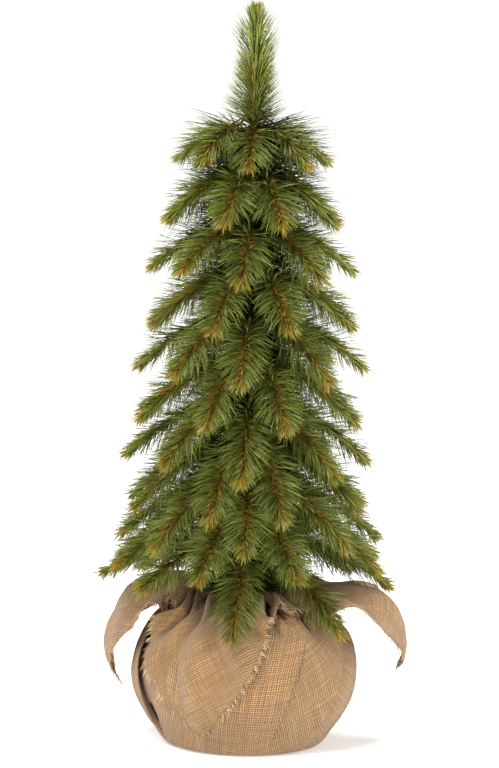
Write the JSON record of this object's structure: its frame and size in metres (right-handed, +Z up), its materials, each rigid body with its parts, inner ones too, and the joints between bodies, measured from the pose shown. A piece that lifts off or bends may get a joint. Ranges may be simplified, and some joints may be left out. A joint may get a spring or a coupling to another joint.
{
  "type": "artificial tabletop tree",
  "caption": "Slim artificial fir with drooping bendable branches on a steel pole, in a weighted tub wrapped in tied burlap.",
  "frame": {"origin": "middle of the underside of the wrapped base, on the trunk axis", "axes": "+Z up the trunk, -Y the front with the folded-down corner, +X the right seen from the front"},
  "size_m": [0.3818, 0.3396, 0.914],
  "materials": {
    "needles": "matte",
    "burlap": "matte",
    "twine": "matte",
    "tub": "matte",
    "cement": "matte",
    "steel": "satin",
    "tape": "matte",
    "binding": "matte"
  },
  "bodies": {
    "base_and_trunk": {"burlap_wrap": "burlap", "neck_tie": "twine", "tub": "tub", "ballast": "cement", "pole_socket": "binding", "trunk_pole": "steel", "trunk_wrap": "tape", "tier_bindings": "binding", "crown_binding": "binding"},
    "leader": {"leader": "needles"},
    "branch_pair_01a": {"branch_pair_01a": "needles"},
    "branch_pair_01b": {"branch_pair_01b": "needles"},
    "branch_pair_01c": {"branch_pair_01c": "needles"},
    "branch_pair_01d": {"branch_pair_01d": "needles"},
    "branch_pair_02a": {"branch_pair_02a": "needles"},
    "branch_pair_02b": {"branch_pair_02b": "needles"},
    "branch_pair_02c": {"branch_pair_02c": "needles"},
    "branch_pair_02d": {"branch_pair_02d": "needles"},
    "branch_pair_03a": {"branch_pair_03a": "needles"},
    "branch_pair_03b": {"branch_pair_03b": "needles"},
    "branch_pair_03c": {"branch_pair_03c": "needles"},
    "branch_pair_03d": {"branch_pair_03d": "needles"},
    "branch_pair_04a": {"branch_pair_04a": "needles"},
    "branch_pair_04b": {"branch_pair_04b": "needles"},
    "branch_pair_04c": {"branch_pair_04c": "needles"},
    "branch_pair_04d": {"branch_pair_04d": "needles"},
    "branch_pair_05a": {"branch_pair_05a": "needles"},
    "branch_pair_05b": {"branch_pair_05b": "needles"},
    "branch_pair_05c": {"branch_pair_05c": "needles"},
    "branch_pair_05d": {"branch_pair_05d": "needles"},
    "branch_pair_06a": {"branch_pair_06a": "needles"},
    "branch_pair_06b": {"branch_pair_06b": "needles"},
    "branch_pair_06c": {"branch_pair_06c": "needles"},
    "branch_pair_06d": {"branch_pair_06d": "needles"},
    "branch_pair_07a": {"branch_pair_07a": "needles"},
    "branch_pair_07b": {"branch_pair_07b": "needles"},
    "branch_pair_07c": {"branch_pair_07c": "needles"},
    "branch_pair_07d": {"branch_pair_07d": "needles"},
    "branch_pair_08a": {"branch_pair_08a": "needles"},
    "branch_pair_08b": {"branch_pair_08b": "needles"},
    "branch_pair_08c": {"branch_pair_08c": "needles"},
    "branch_pair_08d": {"branch_pair_08d": "needles"},
    "branch_pair_09a": {"branch_pair_09a": "needles"},
    "branch_pair_09b": {"branch_pair_09b": "needles"},
    "branch_pair_09c": {"branch_pair_09c": "needles"},
    "branch_pair_09d": {"branch_pair_09d": "needles"},
    "branch_pair_10a": {"branch_pair_10a": "needles"},
    "branch_pair_10b": {"branch_pair_10b": "needles"},
    "branch_pair_10c": {"branch_pair_10c": "needles"},
    "branch_pair_10d": {"branch_pair_10d": "needles"},
    "branch_pair_11a": {"branch_pair_11a": "needles"},
    "branch_pair_11b": {"branch_pair_11b": "needles"},
    "branch_pair_11c": {"branch_pair_11c": "needles"},
    "branch_pair_11d": {"branch_pair_11d": "needles"}
  },
  "joints": [
    {"name": "leader_bend", "type": "hinge", "parent": "base_and_trunk", "child": "leader", "pos_m": [0, 0, 0.802], "axis": [0, 1, 0], "range_deg": [-20, 20]},
    {"name": "bend_01a", "type": "hinge", "parent": "base_and_trunk", "child": "branch_pair_01a", "pos_m": [0.01109, 0.00459, 0.765], "axis": [0.3827, -0.9239, 0], "range_deg": [-5, 10]},
    {"name": "bend_01b", "type": "hinge", "parent": "base_and_trunk", "child": "branch_pair_01b", "pos_m": [-0.00488, 0.01096, 0.765], "axis": [0.9136, 0.4066, 0], "range_deg": [-5, 10]},
    {"name": "bend_01c", "type": "hinge", "parent": "base_and_trunk", "child": "branch_pair_01c", "pos_m": [-0.01124, -0.00421, 0.765], "axis": [-0.3504, 0.9366, 0], "range_deg": [-5, 10]},
    {"name": "bend_01d", "type": "hinge", "parent": "base_and_trunk", "child": "branch_pair_01d", "pos_m": [0.00481, -0.01099, 0.765], "axis": [-0.916, -0.4013, 0], "range_deg": [-5, 10]},
    {"name": "bend_02a", "type": "hinge", "parent": "base_and_trunk", "child": "branch_pair_02a", "pos_m": [0.00828, 0.00868, 0.7026], "axis": [0.7236, -0.6902, 0], "range_deg": [-5, 10]},
    {"name": "bend_02b", "type": "hinge", "parent": "base_and_trunk", "child": "branch_pair_02b", "pos_m": [-0.00818, 0.00878, 0.7026], "axis": [0.7314, 0.682, 0], "range_deg": [-5, 10]},
    {"name": "bend_02c", "type": "hinge", "parent": "base_and_trunk", "child": "branch_pair_02c", "pos_m": [-0.00829, -0.00868, 0.7026], "axis": [-0.7231, 0.6907, 0], "range_deg": [-5, 10]},
    {"name": "bend_02d", "type": "hinge", "parent": "base_and_trunk", "child": "branch_pair_02d", "pos_m": [0.00852, -0.00845, 0.7026], "axis": [-0.704, -0.7102, 0], "range_deg": [-5, 10]},
    {"name": "bend_03a", "type": "hinge", "parent": "base_and_trunk", "child": "branch_pair_03a", "pos_m": [0.01124, 0.0042, 0.6428], "axis": [0.3503, -0.9366, 0], "range_deg": [-5, 10]},
    {"name": "bend_03b", "type": "hinge", "parent": "base_and_trunk", "child": "branch_pair_03b", "pos_m": [-0.00487, 0.01097, 0.6428], "axis": [0.9138, 0.4061, 0], "range_deg": [-5, 10]},
    {"name": "bend_03c", "type": "hinge", "parent": "base_and_trunk", "child": "branch_pair_03c", "pos_m": [-0.01108, -0.0046, 0.6428], "axis": [-0.3835, 0.9235, 0], "range_deg": [-5, 10]},
    {"name": "bend_03d", "type": "hinge", "parent": "base_and_trunk", "child": "branch_pair_03d", "pos_m": [0.0043, -0.0112, 0.6428], "axis": [-0.9337, -0.358, 0], "range_deg": [-5, 10]},
    {"name": "bend_04a", "type": "hinge", "parent": "base_and_trunk", "child": "branch_pair_04a", "pos_m": [0.00825, 0.00872, 0.5856], "axis": [0.7264, -0.6872, 0], "range_deg": [-5, 10]},
    {"name": "bend_04b", "type": "hinge", "parent": "base_and_trunk", "child": "branch_pair_04b", "pos_m": [-0.00846, 0.00851, 0.5856], "axis": [0.709, 0.7052, 0], "range_deg": [-5, 10]},
    {"name": "bend_04c", "type": "hinge", "parent": "base_and_trunk", "child": "branch_pair_04c", "pos_m": [-0.00869, -0.00828, 0.5856], "axis": [-0.6898, 0.724, 0], "range_deg": [-5, 10]},
    {"name": "bend_04d", "type": "hinge", "parent": "base_and_trunk", "child": "branch_pair_04d", "pos_m": [0.00878, -0.00818, 0.5856], "axis": [-0.682, -0.7313, 0], "range_deg": [-5, 10]},
    {"name": "bend_05a", "type": "hinge", "parent": "base_and_trunk", "child": "branch_pair_05a", "pos_m": [0.01111, 0.00453, 0.531], "axis": [0.3771, -0.9262, 0], "range_deg": [-5, 10]},
    {"name": "bend_05b", "type": "hinge", "parent": "base_and_trunk", "child": "branch_pair_05b", "pos_m": [-0.00435, 0.01118, 0.531], "axis": [0.9319, 0.3627, 0], "range_deg": [-5, 10]},
    {"name": "bend_05c", "type": "hinge", "parent": "base_and_trunk", "child": "branch_pair_05c", "pos_m": [-0.01092, -0.00498, 0.531], "axis": [-0.4146, 0.91, 0], "range_deg": [-5, 10]},
    {"name": "bend_05d", "type": "hinge", "parent": "base_and_trunk", "child": "branch_pair_05d", "pos_m": [0.00432, -0.0112, 0.531], "axis": [-0.9331, -0.3596, 0], "range_deg": [-5, 10]},
    {"name": "bend_06a", "type": "hinge", "parent": "base_and_trunk", "child": "branch_pair_06a", "pos_m": [0.00864, 0.00833, 0.479], "axis": [0.6937, -0.7202, 0], "range_deg": [-5, 10]},
    {"name": "bend_06b", "type": "hinge", "parent": "base_and_trunk", "child": "branch_pair_06b", "pos_m": [-0.00877, 0.00819, 0.479], "axis": [0.6823, 0.731, 0], "range_deg": [-5, 10]},
    {"name": "bend_06c", "type": "hinge", "parent": "base_and_trunk", "child": "branch_pair_06c", "pos_m": [-0.00871, -0.00825, 0.479], "axis": [-0.6876, 0.7261, 0], "range_deg": [-5, 10]},
    {"name": "bend_06d", "type": "hinge", "parent": "base_and_trunk", "child": "branch_pair_06d", "pos_m": [0.0085, -0.00847, 0.479], "axis": [-0.7059, -0.7084, 0], "range_deg": [-5, 10]},
    {"name": "bend_07a", "type": "hinge", "parent": "base_and_trunk", "child": "branch_pair_07a", "pos_m": [0.01093, 0.00496, 0.4296], "axis": [0.4136, -0.9105, 0], "range_deg": [-5, 10]},
    {"name": "bend_07b", "type": "hinge", "parent": "base_and_trunk", "child": "branch_pair_07b", "pos_m": [-0.00427, 0.01122, 0.4296], "axis": [0.9347, 0.3555, 0], "range_deg": [-5, 10]},
    {"name": "bend_07c", "type": "hinge", "parent": "base_and_trunk", "child": "branch_pair_07c", "pos_m": [-0.01106, -0.00465, 0.4296], "axis": [-0.3875, 0.9219, 0], "range_deg": [-5, 10]},
    {"name": "bend_07d", "type": "hinge", "parent": "base_and_trunk", "child": "branch_pair_07d", "pos_m": [0.00484, -0.01098, 0.4296], "axis": [-0.9151, -0.4031, 0], "range_deg": [-5, 10]},
    {"name": "bend_08a", "type": "hinge", "parent": "base_and_trunk", "child": "branch_pair_08a", "pos_m": [0.00874, 0.00822, 0.3828], "axis": [0.6849, -0.7287, 0], "range_deg": [-5, 10]},
    {"name": "bend_08b", "type": "hinge", "parent": "base_and_trunk", "child": "branch_pair_08b", "pos_m": [-0.00856, 0.00841, 0.3828], "axis": [0.701, 0.7132, 0], "range_deg": [-5, 10]},
    {"name": "bend_08c", "type": "hinge", "parent": "base_and_trunk", "child": "branch_pair_08c", "pos_m": [-0.00832, -0.00865, 0.3828], "axis": [-0.7207, 0.6932, 0], "range_deg": [-5, 10]},
    {"name": "bend_08d", "type": "hinge", "parent": "base_and_trunk", "child": "branch_pair_08d", "pos_m": [0.00819, -0.00877, 0.3828], "axis": [-0.7311, -0.6822, 0], "range_deg": [-5, 10]},
    {"name": "bend_09a", "type": "hinge", "parent": "base_and_trunk", "child": "branch_pair_09a", "pos_m": [0.01103, 0.00473, 0.3386], "axis": [0.3937, -0.9192, 0], "range_deg": [-5, 10]},
    {"name": "bend_09b", "type": "hinge", "parent": "base_and_trunk", "child": "branch_pair_09b", "pos_m": [-0.00477, 0.01101, 0.3386], "axis": [0.9175, 0.3978, 0], "range_deg": [-5, 10]},
    {"name": "bend_09c", "type": "hinge", "parent": "base_and_trunk", "child": "branch_pair_09c", "pos_m": [-0.01124, -0.00421, 0.3386], "axis": [-0.3511, 0.9363, 0], "range_deg": [-5, 10]},
    {"name": "bend_09d", "type": "hinge", "parent": "base_and_trunk", "child": "branch_pair_09d", "pos_m": [0.00491, -0.01095, 0.3386], "axis": [-0.9125, -0.4091, 0], "range_deg": [-5, 10]},
    {"name": "bend_10a", "type": "hinge", "parent": "base_and_trunk", "child": "branch_pair_10a", "pos_m": [0.00837, 0.0086, 0.297], "axis": [0.7165, -0.6976, 0], "range_deg": [-3, 8]},
    {"name": "bend_10b", "type": "hinge", "parent": "base_and_trunk", "child": "branch_pair_10b", "pos_m": [-0.0082, 0.00876, 0.297], "axis": [0.73, 0.6834, 0], "range_deg": [-3, 8]},
    {"name": "bend_10c", "type": "hinge", "parent": "base_and_trunk", "child": "branch_pair_10c", "pos_m": [-0.00822, -0.00874, 0.297], "axis": [-0.7284, 0.6852, 0], "range_deg": [-3, 8]},
    {"name": "bend_10d", "type": "hinge", "parent": "base_and_trunk", "child": "branch_pair_10d", "pos_m": [0.00842, -0.00855, 0.297], "axis": [-0.7126, -0.7016, 0], "range_deg": [-3, 8]},
    {"name": "bend_11a", "type": "hinge", "parent": "base_and_trunk", "child": "branch_pair_11a", "pos_m": [0.01123, 0.00424, 0.258], "axis": [0.3533, -0.9355, 0], "range_deg": [-1, 5]},
    {"name": "bend_11b", "type": "hinge", "parent": "base_and_trunk", "child": "branch_pair_11b", "pos_m": [-0.00495, 0.01093, 0.258], "axis": [0.9111, 0.4121, 0], "range_deg": [-1, 5]},
    {"name": "bend_11c", "type": "hinge", "parent": "base_and_trunk", "child": "branch_pair_11c", "pos_m": [-0.01114, -0.00447, 0.258], "axis": [-0.3723, 0.9281, 0], "range_deg": [-1, 5]},
    {"name": "bend_11d", "type": "hinge", "parent": "base_and_trunk", "child": "branch_pair_11d", "pos_m": [0.0044, -0.01116, 0.258], "axis": [-0.9303, -0.3667, 0], "range_deg": [-1, 5]}
  ]
}
